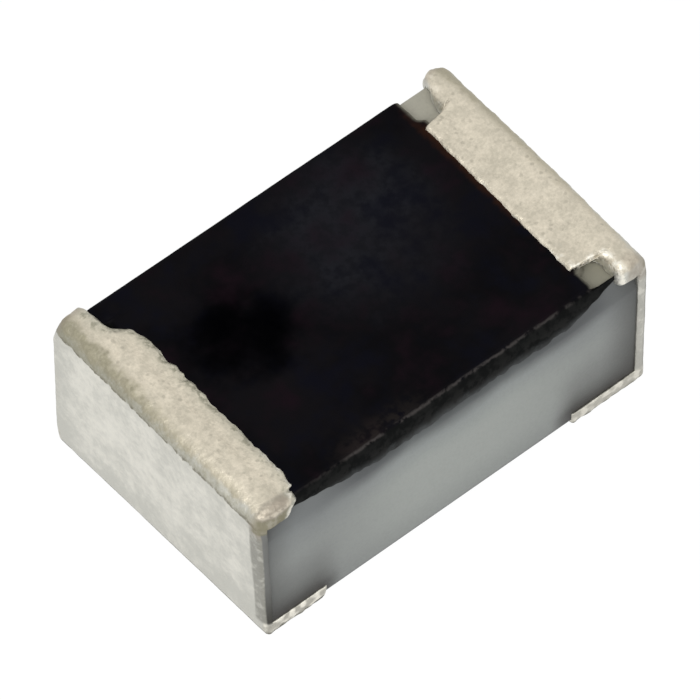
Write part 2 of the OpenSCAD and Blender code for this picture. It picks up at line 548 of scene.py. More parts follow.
@dataclass(frozen=True)
class CeramicFinish:
    """Grey alumina, warm on top, with a bluish painted shade high on its sides under the coat's lip, and
    painted shade towards the plated ends, over the pads and along the lower edge.
    """

    side: Colour = rgb(0.362, 0.382, 0.360)
    # Painted shade under the coat's lip: a broad bluish one and a near black one right under it.
    far_lip_shade: Colour = rgb(0.150, 0.174, 0.190)
    near_lip_shade: Colour = rgb(0.030, 0.033, 0.036)
    # Painted shade: grey towards the ends and the foot, near black beside the plated ends and over the pads.
    shade_grey: Colour = rgb(0.160, 0.166, 0.170)
    contact_shade: Colour = rgb(0.024, 0.022, 0.018)
    top_front: Colour = rgb(0.262, 0.252, 0.198)
    top_back: Colour = rgb(0.440, 0.424, 0.352)
    speck: Colour = grey(0.16)
    left_pad: float = -0.660
    right_pad: float = 0.590
    pad_border: Band = (-0.10, 0.05)
    pad_shadows: tuple[PadShadow, ...] = (
        PadShadow((0.44, 0.05), 0.5, 0.56),
        PadShadow((0.20, 0.01), 0.5, 0.97),
        PadShadow((0.115, 0.045), 0.4, 0.85),
    )
    far_lip_shade_depth: Band = (0.34, 0.12)
    near_lip_shade_depth: Band = (0.19, 0.075)
    near_lip_shade_thins_right: Band = (0.72, 0.88)
    near_lip_shade_thins_left: Band = (-0.45, -0.78)
    end_shade_along: Band = (0.15, 0.85)
    contact_shade_right: Band = (0.22, 0.01)
    contact_shade_left: Band = (0.16, 0.01)
    low_shade_foot: Band = (0.22, 0.0)
    low_shade_edge: Band = (0.020, 0.004)
    top_skin: Band = (0.010, 0.002)
    top_turn: Band = (-0.20, 0.30)

    def make(self, block: Box) -> bpy.types.Material:
        """Build the material.

        Args:
            block: Box of the ceramic block.

        Returns:
            The material.
        """
        paint = Paint("alumina", self.side)
        uneven = (paint.grain(3.0, 3.0) - 0.5) * 0.10
        fine = paint.grain(70.0, 4.0, 0.7)
        self._sides(paint, block, uneven)
        self._feet(paint, block.low[2], uneven)
        bare = paint.g.mix(paint.y.step(*self.top_turn), self.top_front, self.top_back)
        paint.over(paint.z.step(*under(block.high[2], self.top_skin)), bare)
        paint.over(fine.step(0.40, 0.80) * 0.12, self.speck)
        sockets = {
            "Roughness": 0.42 + fine * 0.25,
            "Normal": paint.g.bump(fine, 0.0012),
            "Specular IOR Level": 0.30,
        }
        return paint.done(sockets)

    def _sides(self, paint: Paint, block: Box, uneven: Shade) -> None:
        """Paint shade on the sides, under the coat's lip and towards the plated ends.

        Args:
            paint: The material's paint.
            block: Box of the ceramic block.
            uneven: Height by which the borders waver.
        """
        x, height, top = paint.x, paint.z + uneven, block.high[2]
        # Painted shade under the coat's lip: a broad bluish band and a darker near band that thins towards the
        # ends.
        paint.over(height.step(*under(top, self.far_lip_shade_depth)) * 0.42, self.far_lip_shade)
        near_lip_shade_share = 0.88 - x.step(*self.near_lip_shade_thins_right) * 0.62 - x.step(*self.near_lip_shade_thins_left) * 0.50
        paint.over(height.step(*under(top, self.near_lip_shade_depth)) * near_lip_shade_share, self.near_lip_shade)
        # Painted shade towards the plated ends, darkest right beside them.
        paint.over((abs(x) - x * 0.12 + uneven).step(*self.end_shade_along) * 0.46, self.shade_grey)
        paint.over(x.step(*under(block.high[0], self.contact_shade_right)) * 0.62, self.contact_shade)
        paint.over(x.step(*above(block.low[0], self.contact_shade_left)) * 0.36, self.contact_shade)

    def _feet(self, paint: Paint, low: float, uneven: Shade) -> None:
        """Paint shadows on the sides over the pads and shade along the lower edge.

        Args:
            paint: The material's paint.
            low: Height of the lower edge.
            uneven: Height by which the borders waver.
        """
        x, z = paint.x, paint.z
        at_right = x.step(*above(self.right_pad, self.pad_border))
        over_pad = at_right + x.step(*under(self.left_pad, self.pad_border))
        # Painted shadows over the pads.
        for shadow in self.pad_shadows:
            height = z + uneven * shadow.waver
            paint.over(over_pad * height.step(*above(low, shadow.fade)) * shadow.share, self.contact_shade)
        # Painted shade along the lower edge, weaker over the pads.
        edge_tone = z.step(*above(low, self.low_shade_foot)) * 0.28 + z.step(*above(low, self.low_shade_edge)) * 0.45
        paint.over(edge_tone * (1.0 - over_pad * 0.8), self.shade_grey)


class TinPaint(Paint):
    """The tin's paint, with its noises, marks and distances."""

    def __init__(self, name: str, ground: Colour, tin: Box) -> None:
        """Start a material.

        Args:
            name: Name of the material.
            ground: Colour that lies under all others.
            tin: Box of the plating.
        """
        super().__init__(name, ground)
        self.cloud = self.grain(6.0, 4.0, 0.6)
        self.mottle = self.grain(26.0, 3.0, 0.6)
        self.fine = self.grain(75.0, 3.0, 0.65)
        self.dots = self.g.node("ShaderNodeTexVoronoi", {}, {"Vector": self.place, "Scale": 30.0}, "Distance")
        self.rim, self.bead = self.g.mark("rim"), self.g.mark("bead")
        self.outside = max(abs(tin.low[0]), abs(tin.high[0]))
        self.crest, self.side = tin.high[2], tin.high[1]
        self.ragged = self.z + (self.mottle - 0.5) * 0.052 + (self.cloud - 0.5) * 0.030
        self.from_side = self.side - abs(self.y)
        self.from_end = self.outside - abs(self.x)


@dataclass(frozen=True)
class TinFinish:
    """Matte tin plating: neutral on the end faces, warm on top, rough over the upper end edge with painted
    olive shade there, and with painted shade and highlights on its foot, strips, rim, pads and the ends of its
    top strip.
    """

    edge_shade_share: float
    rim_shade_share: float
    strip_start: float
    strip_share: float
    tab_shade_share: float
    bead_highlight_share: float
    lap_share: float
    outline_share: float
    face: Colour = rgb(0.752, 0.735, 0.668)
    # Random mottling and painted shade of the end face.
    face_mottle_and_shade: Colour = rgb(0.548, 0.543, 0.494)
    top: Colour = rgb(0.745, 0.680, 0.558)
    top_dull: Colour = rgb(0.540, 0.497, 0.402)
    speck: Colour = rgb(0.330, 0.305, 0.245)
    # Painted shade in the rim's crevices.
    rim_crevice_shade: Colour = rgb(0.230, 0.225, 0.165)
    # Olive painted shade of the rough upper end edge.
    edge: Colour = rgb(0.235, 0.222, 0.150)
    # Painted shade on the rim's slope.
    rim_slope_shade: Colour = rgb(0.420, 0.425, 0.345)
    # Painted shade of the strips on the upright edges and of the lap's outline.
    cheek_shade: Colour = rgb(0.240, 0.235, 0.204)
    pad: Colour = rgb(0.460, 0.445, 0.390)
    # Painted highlight colour.
    highlight_tint: Colour = rgb(0.860, 0.830, 0.740)
    # Painted shadow line along the crease.
    seam: Colour = rgb(0.120, 0.108, 0.070)
    # Brown painted shadow for the ends of the top strip.
    tab: Colour = rgb(0.330, 0.285, 0.230)
    # Painted shade colour of the end face's foot and the pad's underside.
    under: Colour = rgb(0.150, 0.145, 0.118)
    # Grey of the shaded ceramic, as painted shade, and darker painted shade towards the pad.
    lap: Colour = rgb(0.200, 0.202, 0.193)
    lap_low_shade: Colour = rgb(0.062, 0.060, 0.053)
    shade_low: Band = (0.36, 0.03)
    shade_front: Band = (0.2, -0.5)
    shade_back: Band = (0.50, 0.62)
    top_depth: Band = (0.050, 0.022)
    edge_depth: Band = (0.078, 0.071)
    edge_reach: Band = (0.072, 0.022)
    edge_back: Band = (0.46, 0.61)
    edge_along: Band = (-0.30, 0.45)
    edge_corner: Band = (-0.50, -0.60)
    crease_shade_depth: Band = (0.079, 0.072)
    crease_shade_end: Band = (0.054, 0.066)
    front_half: Band = (0.1, -0.1)
    side_border: Band = (0.010, 0.003)
    strip_top: Band = (0.71, 0.77)
    pad_top: Band = (0.115, 0.085)
    pad_side: Band = (0.034, 0.018)
    foot_height: Band = (0.056, 0.034)
    foot_reach: Band = (0.075, 0.045)
    under_height: Band = (0.042, 0.016)
    bead_height: Band = (0.020, 0.046)
    lap_front: Band = (-0.54, -0.60)
    lap_top: Band = (0.748, 0.738)
    lap_border: Band = (0.042, 0.048)
    lap_lean: float = 0.040
    lap_fade: Band = (0.46, 0.06)
    outline_end: Band = (0.034, 0.016)
    outline_side: Band = (0.034, 0.022)
    tab_front: Band = (-0.545, -0.605)
    tab_height: Band = (0.690, 0.745)
    tab_back: Band = (0.570, 0.625)
    tab_back_height: Band = (0.75, 0.80)
    turn_front: Band = (-0.57, -0.60)
    turn_top: Band = (0.803, 0.786)
    turn_low: Band = (0.730, 0.742)
    ridge_low: Band = (0.796, 0.804)
    ridge_top: Band = (0.818, 0.810)
    glint_side: Band = (0.17, 0.11)
    glint_front: Band = (-0.2185, -0.470)
    glint_along: Band = (0.52, -0.40)

    def make(self, name: str, tin: Box) -> bpy.types.Material:
        """Build the material.

        Args:
            name: Name of the material.
            tin: Box of the plating.

        Returns:
            The material.
        """
        paint = TinPaint(name, self.face, tin)
        self._faces(paint)
        on_edge = self._end_edge(paint)
        self._strips(paint, on_edge)
        foot, below = self._pads(paint)
        bare, outline = self._laps(paint)
        tab_face = self._tabs(paint, bare)
        self._glints(paint)
        sockets = {
            "Metallic": 1.0 - (bare | below | outline | foot | tab_face * 0.9),
            "Specular IOR Level": 0.0,
            "Roughness": 0.38 + paint.mottle * 0.18 + on_edge * 0.10,
            "Normal": paint.g.bump(paint.mottle * 0.4 + paint.fine * 0.6, 0.0050),
        }
        return paint.done(sockets)

    def _faces(self, paint: TinPaint) -> None:
        """Paint the end face with painted shade towards its foot, front and back, the top, and the ragged rim
        with painted shade on its slope and in its crevices.

        Args:
            paint: The material's paint.
        """
        y, cloud, mottle, fine, rim = paint.y, paint.cloud, paint.mottle, paint.fine, paint.rim
        # Painted shade towards the foot, front and back, mixed with random mottling.
        dark = paint.z.step(*self.shade_low) * 0.42 + y.step(*self.shade_front) * 0.12
        dark = dark + y.step(*self.shade_back) * 0.35
        patchy = cloud.step(0.66, 0.36) * 0.40 + mottle.step(0.68, 0.34) * 0.30 + fine.step(0.66, 0.36) * 0.14
        paint.over((patchy + dark).step(0.0, 1.1), self.face_mottle_and_shade)
        dull = fine.step(0.66, 0.36) * 0.40 + cloud.step(0.62, 0.40) * 0.30 + mottle.step(0.64, 0.36) * 0.45
        top = paint.g.mix(dull, self.top, self.top_dull)
        specks = (paint.dots + (fine - 0.5) * 0.3).step(0.34, 0.12) * cloud.step(0.40, 0.58) * 0.45
        top = paint.g.mix(specks, top, self.speck)
        paint.over(paint.ragged.step(*under(paint.crest, self.top_depth)), top)
        # Painted shade on the rim's slope and in its crevices.
        paint.over(rim * self.rim_shade_share, self.rim_slope_shade)
        paint.over(rim.step(0.10, 0.55) * mottle.step(0.50, 0.62) * self.rim_shade_share * 1.3, self.rim_crevice_shade)

    def _end_edge(self, paint: TinPaint) -> Shade:
        """Paint the olive painted shade on the rough edge between end face and top, and a painted shadow line
        along its crease.

        Args:
            paint: The material's paint.

        Returns:
            Share of the edge, 1 on it.
        """
        y, ragged, crest = paint.y, paint.ragged, paint.crest
        mottle, fine = paint.mottle - 0.5, paint.fine - 0.5
        at_back = y.step(*self.edge_back)
        width = mottle * 0.06 + (paint.cloud - 0.5) * 0.07 + y * 0.018 + at_back * 0.02
        reach = (abs(paint.x) + width).step(*under(paint.outside, self.edge_reach))
        on_edge = ragged.step(*under(crest, self.edge_depth)) * reach
        uneven = (0.50 + y.step(*self.edge_along) * 0.32 + fine * 0.9 + mottle * 0.6).step(-0.1, 1.05)
        at_corner = (y + mottle * 0.10).step(*self.edge_corner) * 0.85
        # Painted olive shade on the rough rounded edge.
        paint.over(on_edge * (uneven | at_back * 0.9 | at_corner) * self.edge_shade_share, self.edge)
        # Painted shadow line along the crease.
        seam = ragged.step(*under(crest, self.crease_shade_depth)) * ragged.step(*under(crest, self.crease_shade_end))
        paint.over(seam * reach * paint.mottle.step(0.40, 0.60) * self.edge_shade_share * 0.7, self.seam)
        return on_edge

    def _strips(self, paint: TinPaint, on_edge: Shade) -> None:
        """Paint patchy shade on the strips along the end face's upright edges.

        Args:
            paint: The material's paint.
            on_edge: Share of the olive edge.
        """
        from_side = paint.from_side
        at_front = from_side.step(self.strip_start, self.strip_start * 0.8) * paint.y.step(*self.front_half)
        strip = at_front | from_side.step(*self.side_border)
        strip = strip * (1.0 - paint.z.step(*self.strip_top) * 0.50) * (1.0 - paint.z.step(*self.pad_top))
        # Painted shade on the strips, thinned in random patches.
        edge_tone = 1.0 - paint.mottle.step(0.50, 0.66) * 0.45
        paint.over(strip * (1.0 - on_edge) * edge_tone * self.strip_share, self.cheek_shade)

    def _pads(self, paint: TinPaint) -> tuple[Shade, Shade]:
        """Paint the end face's foot and the beaded edges of the pad: painted shade on the foot and the pad's
        underside, painted highlights on the beads.

        Args:
            paint: The material's paint.

        Returns:
            Shares of the painted shade on the foot and on the pad's underside.
        """
        z = paint.z
        # Painted shade on the end face's foot.
        foot = z.step(*self.foot_height) * abs(paint.x).step(*under(paint.outside, self.foot_reach))
        paint.over(foot * 0.75, self.under)
        on_pad = paint.from_side.step(*self.pad_side) * z.step(*self.pad_top)
        paint.over(on_pad, self.pad)
        # Painted shade on the pad's underside.
        below = on_pad * z.step(*self.under_height)
        paint.over(below * 0.9, self.under)
        # Painted highlights on the pad's beads.
        beads = paint.bead.step(0.36, 0.70) * z.step(*self.bead_height)
        paint.over(on_pad * beads * self.bead_highlight_share, self.highlight_tint)
        return foot, below

    def _laps(self, paint: TinPaint) -> tuple[Shade, Shade]:
        """Paint the plating that laps round to the front side.

        Args:
            paint: The material's paint.

        Returns:
            Shares of the lap's grey inboard part and of its painted shade outline.
        """
        z, from_end = paint.z, paint.from_end
        lap = paint.y.step(*self.lap_front) * z.step(*self.lap_top) * (1.0 - z.step(*self.pad_top))
        bare = lap * (from_end + z * self.lap_lean).step(*self.lap_border) * self.lap_share
        # Grey like the shaded ceramic beside it, as painted shade, darker towards the pad.
        paint.over(bare, paint.g.mix(z.step(*self.lap_fade) * 0.95, self.lap, self.lap_low_shade))
        # Painted shade along the outline of the lap's corner.
        border = from_end.step(*self.outline_end) * paint.from_side.step(*self.outline_side)
        outline = lap * border * self.outline_share
        paint.over(outline, self.cheek_shade)
        return bare, outline

    def _tabs(self, paint: TinPaint, bare: Shade) -> Shade:
        """Paint shade at the front and back ends of the top strip, and a painted highlight along the front
        ridge.

        Args:
            paint: The material's paint.
            bare: Share of the lap's grey inboard part.

        Returns:
            Share of the painted olive shade on the front end's turned face.
        """
        y, z, mottle, rim = paint.y, paint.z, paint.mottle, paint.rim
        front = y.step(*self.tab_front) * z.step(*self.tab_height) * (1.0 - rim.step(0.35, 0.75))
        back = y.step(*self.tab_back) * z.step(*self.tab_back_height) * 0.7
        # Brown painted shadow at the front of the top strip and painted shade at its back.
        tab = front * (0.65 + mottle.step(0.62, 0.42) * 0.35) | back
        paint.over(tab * self.tab_shade_share * (1.0 - bare), self.tab)
        turned = y.step(*self.turn_front) * self.lap_share
        # Painted olive shade on the turned face at the front.
        tab_face = turned * z.step(*self.turn_top) * z.step(*self.turn_low) * (1.0 - rim.step(0.55, 0.90))
        paint.over(tab_face * (0.85 - mottle.step(0.45, 0.65) * 0.35), self.edge)
        # Painted highlight along the front ridge.
        ridge = turned * z.step(*self.ridge_low) * z.step(*self.ridge_top) * mottle.step(0.38, 0.56)
        paint.over(ridge * 0.5, self.top)
        return tab_face

    def _glints(self, paint: TinPaint) -> None:
        """Paint highlights on the lumps of the rim near the front and the sides.

        Args:
            paint: The material's paint.
        """
        y = paint.y
        # Painted highlights on the rim's lumps.
        reach = abs(y).step(*under(paint.side, self.glint_side)) | y.step(*self.glint_front)
        lumps = paint.rim.step(0.45, 0.85) * paint.mottle.step(0.46, 0.60)
        paint.over(reach * lumps * y.step(*self.glint_along).step(-0.4, 0.9) * 0.9, self.highlight_tint)


class ResinPaint(Paint):
    """The coat's paint, with its noises."""

    def __init__(self, name: str, ground: Colour) -> None:
        """Start a material.

        Args:
            name: Name of the material.
            ground: Colour that lies under all others.
        """
        super().__init__(name, ground)
        self.cloud = self.grain(3.2, 4.0, 0.6)
        self.mottle = self.grain(22.0, 3.0, 0.6)
        self.fine = self.grain(90.0, 3.0, 0.6)
        self.tint = self.grain(5.5, 1.5)

    def disc(self, middle: tuple[float, float]) -> Shade:
        """Squared distance from a place on the coat."""
        across, along = self.x - middle[0], self.y - middle[1]
        return across * across + along * along


@dataclass(frozen=True)
class ResinFinish:
    """Black epoxy print: satin and cloudy, grey on its long edges from wear and a painted highlight, thin at
    its foot and ends, with a painted reflection and a painted shade spot on its top.
    """

    body: Colour = rgb(0.0012, 0.0010, 0.0017)
    cloud: Colour = rgb(0.0036, 0.0030, 0.0040)
    # Painted reflection colour.
    light: Colour = rgb(0.0120, 0.0124, 0.0160)
    plum: Colour = rgb(0.0088, 0.0032, 0.0062)
    blue: Colour = rgb(0.0018, 0.0022, 0.0066)
    # Painted shade colour of the darkest spot.
    spot_shade: Colour = rgb(0.0003, 0.0003, 0.0006)
    brown: Colour = rgb(0.0260, 0.0095, 0.0045)
    lip: Colour = rgb(0.0042, 0.0046, 0.0046)
    lip_light: Colour = rgb(0.0200, 0.0200, 0.0192)
    # Grey of the long edges' lines: wear and painted highlight.
    edge_tone: Colour = rgb(0.0560, 0.0510, 0.0490)
    scuff: Colour = rgb(0.0200, 0.0165, 0.0145)
    thin: Colour = rgb(0.0900, 0.0950, 0.0960)
    bare: Colour = rgb(0.2000, 0.1920, 0.1550)
    dark_spot: tuple[float, float] = (-0.48, 0.10)
    reflection_spot: tuple[float, float] = (0.22, 0.22)
    spot_fade: Band = (0.085, -0.02)
    reflection_fade: Band = (0.26, -0.06)
    brown_reach: Band = (0.060, 0.015)
    brown_front: Band = (-0.51, -0.46)
    flat_depth: Band = (0.02, 0.01)
    lip_depth: Band = (0.012, 0.030)
    lip_start: float = 0.035
    lip_stop: float = 0.035
    front_line: float = 0.589
    back_line: float = 0.601
    line_width: Band = (0.007, 0.001)
    line_depth: Band = (0.032, 0.018)
    line_along: Band = (0.80, 0.40)
    scuff_front: Band = (-0.48, -0.58)
    scuff_depth: Band = (0.03, 0.01)
    scuff_middle: float = -0.34
    scuff_along: Band = (0.30, 0.06)
    foot_height: Band = (0.075, 0.005)
    feather_height: Band = (-0.02, 0.002)

    def make(self, coat: Box, block: Box) -> bpy.types.Material:
        """Build the material.

        Args:
            coat: Box of the black coat.
            block: Box of the ceramic block.

        Returns:
            The material.
        """
        paint = ResinPaint("black_resin", self.body)
        mottle = paint.mottle
        spot = self._clouds(paint)
        self._lip(paint, coat)
        self._wear(paint, coat.high[2])
        self._thin_borders(paint, coat.low[2], block.high[2])
        sockets = {
            "Roughness": 0.36 + mottle * 0.22,
            "Normal": paint.g.bump(mottle * 0.7 + paint.fine * 0.3, 0.0022),
            "Specular IOR Level": 0.0,
            "Coat Weight": 0.075 - spot * 0.066,
            "Coat Roughness": 0.45,
        }
        return paint.done(sockets)

    def _clouds(self, paint: ResinPaint) -> Shade:
        """Paint the faint clouds of the top, a painted reflection and a painted shade spot.

        Args:
            paint: The material's paint.

        Returns:
            Share of the darkest spot.
        """
        cloud, mottle = paint.cloud, paint.mottle
        paint.over(cloud.step(0.36, 0.64), self.cloud)
        # Painted reflection: a pale patch on the top.
        pale = (paint.disc(self.reflection_spot) + (cloud - 0.5) * 0.40).step(*self.reflection_fade)
        paint.over(pale * (0.60 + mottle.step(0.36, 0.62) * 0.40), self.light)
        tint = paint.tint + (mottle - 0.5) * 0.3
        paint.over(tint.step(0.46, 0.84) * 0.7, self.plum)
        paint.over(tint.step(0.52, 0.20) * 0.6, self.blue)
        # Painted shade: the darkest spot, where the coat shows no reflection.
        from_spot = paint.disc(self.dark_spot) + (cloud - 0.5) * 0.16 + (paint.tint - 0.5) * 0.06
        spot = from_spot.step(*self.spot_fade)
        paint.over(spot, self.spot_shade)
        return spot

    def _lip(self, paint: ResinPaint, coat: Box) -> None:
        """Paint the brown right end and the lips down the long sides.

        Args:
            paint: The material's paint.
            coat: Box of the black coat.
        """
        z, mottle, crest = paint.z, paint.mottle, coat.high[2]
        at_right = (paint.x + (mottle - 0.5) * 0.04).step(*under(coat.high[0], self.brown_reach))
        near_end = at_right * paint.y.step(*self.brown_front) * paint.cloud.step(0.38, 0.56)
        paint.over(near_end * z.step(*under(crest, self.flat_depth)), self.brown)
        lower = z.step(crest - self.lip_start, coat.low[2] + self.lip_stop)
        lip = paint.g.mix(mottle.step(0.40, 0.60) * (0.35 + lower * 0.65), self.lip, self.lip_light)
        paint.over(z.step(*under(crest, self.lip_depth)), lip)

    def _wear(self, paint: ResinPaint, crest: float) -> None:
        """Paint the scuffs and the grey lines along the long edges, which are wear and a painted highlight.

        Args:
            paint: The material's paint.
            crest: Height of the coat's top.
        """
        x, y, z, mottle = paint.x, paint.y, paint.z, paint.mottle
        along = abs(x - self.scuff_middle).step(*self.scuff_along)
        scuffed = y.step(*self.scuff_front) * along * mottle.step(0.36, 0.60)
        paint.over(scuffed * z.step(*under(crest, self.scuff_depth)) * 0.6, self.scuff)
        # Grey lines along the long edges: wear and painted highlight.
        waver = (mottle - 0.5) * 0.016
        front = abs(y + self.front_line + waver).step(*self.line_width)
        back = abs(y - self.back_line + waver).step(*self.line_width)
        line = (front | back) * z.step(*under(crest, self.line_depth))
        middle = abs(x + (paint.cloud - 0.5) * 0.6).step(*self.line_along)
        paint.over(line * mottle.step(0.38, 0.60) * (0.30 + middle * 0.70), self.edge_tone)

    def _thin_borders(self, paint: ResinPaint, low: float, block_top: float) -> None:
        """Let the ceramic show through the coat's foot and ends.

        Args:
            paint: The material's paint.
            low: Height of the lips' foot.
            block_top: Height of the ceramic's top.
        """
        mottle = paint.mottle - 0.5
        foot = paint.z + mottle * 0.07 + (paint.cloud - 0.5) * 0.06
        paint.over(foot.step(*above(low, self.foot_height)) * 0.9, self.thin)
        rim = paint.g.mark("bare")
        feather = (rim + mottle * 0.4).step(0.15, 0.95) * rim.step(0.0, 0.1)
        paint.over(feather * paint.z.step(*above(block_top, self.feather_height)), self.bare)


@dataclass(frozen=True)
class LayerFinish:
    """One of the thin inner layers, with a fine cloudy grain."""

    base: Colour
    fleck: Colour
    metallic: float
    roughness: float

    def make(self, name: str) -> bpy.types.Material:
        """Build the material.

        Args:
            name: Name of the material.

        Returns:
            The material.
        """
        paint = Paint(name, self.base)
        fine = paint.grain(60.0, 4.0, 0.65)
        paint.over(fine.step(0.35, 0.70), self.fleck)
        sockets = {
            "Metallic": self.metallic,
            "Roughness": self.roughness + fine * 0.15,
            "Normal": paint.g.bump(fine, 0.0010),
        }
        return paint.done(sockets)


@dataclass(frozen=True)
class Groove:
    """The grooves that the block was snapped along, which run in towards its top."""

    depth: float = 0.110
    run: float = 0.028
    front_run: float = 0.040

    def across(self, y: np.ndarray) -> np.ndarray:
        """How far the groove runs in from the long side that each Y lies towards."""
        return np.where(y < 0, self.front_run, self.run)


@dataclass
class CeramicBlock:
    """The alumina block, snapped along scribed grooves."""

    groove: Groove = Groove()
    edge_round: float = 0.006

    def build(self) -> bpy.types.Object:
        """Model the block and dress it.

        Returns:
            The piece.
        """
        box = Box.of("ceramic_substrate")
        size, middle = box.high - box.low, (box.high + box.low) / 2
        bm = bmesh.new()
        bmesh.ops.create_cube(bm, size=1.0)
        bmesh.ops.scale(bm, verts=bm.verts, vec=Vector(size * MM))
        bmesh.ops.translate(bm, verts=bm.verts, vec=Vector(middle * MM))
        foot = Vector((0.0, 0.0, (box.high[2] - self.groove.depth) * MM))
        geometry = [*bm.verts, *bm.edges, *bm.faces]
        bmesh.ops.bisect_plane(bm, geom=geometry, plane_co=foot, plane_no=(0.0, 0.0, 1.0), dist=TINY)
        crown = [v for v in bm.verts if v.co.z > (box.high[2] - self.groove.depth / 2) * MM]
        for vert in crown:
            vert.co.x -= math.copysign(self.groove.run * MM, vert.co.x)
            vert.co.y -= self.groove.run * MM if vert.co.y > 0 else -self.groove.front_run * MM
        bmesh.ops.bevel(
            bm, geom=bm.edges, offset=self.edge_round * MM,
            affect="EDGES", segments=3, profile=0.5, material=-1,
        )
        bmesh.ops.recalc_face_normals(bm, faces=bm.faces)
        piece = piece_from(bm, "alumina_block")
        dress(piece, CeramicFinish().make(box))
        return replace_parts(piece, "ceramic_substrate")


@dataclass(kw_only=True)
class LaidOn:
    """What coat and plating share: the grooves under them, the lands and how far they sink into the block."""

    groove: Groove = Groove()
    land_spread: float = 0.038
    buried: float = 0.003

    def land(self, end: End) -> Band:
        """Front and back Y of what lies over an end's printed electrode."""
        printed = Box.of(f"top_electrode_{end.word}")
        return printed.low[1] - self.land_spread, printed.high[1] + self.land_spread


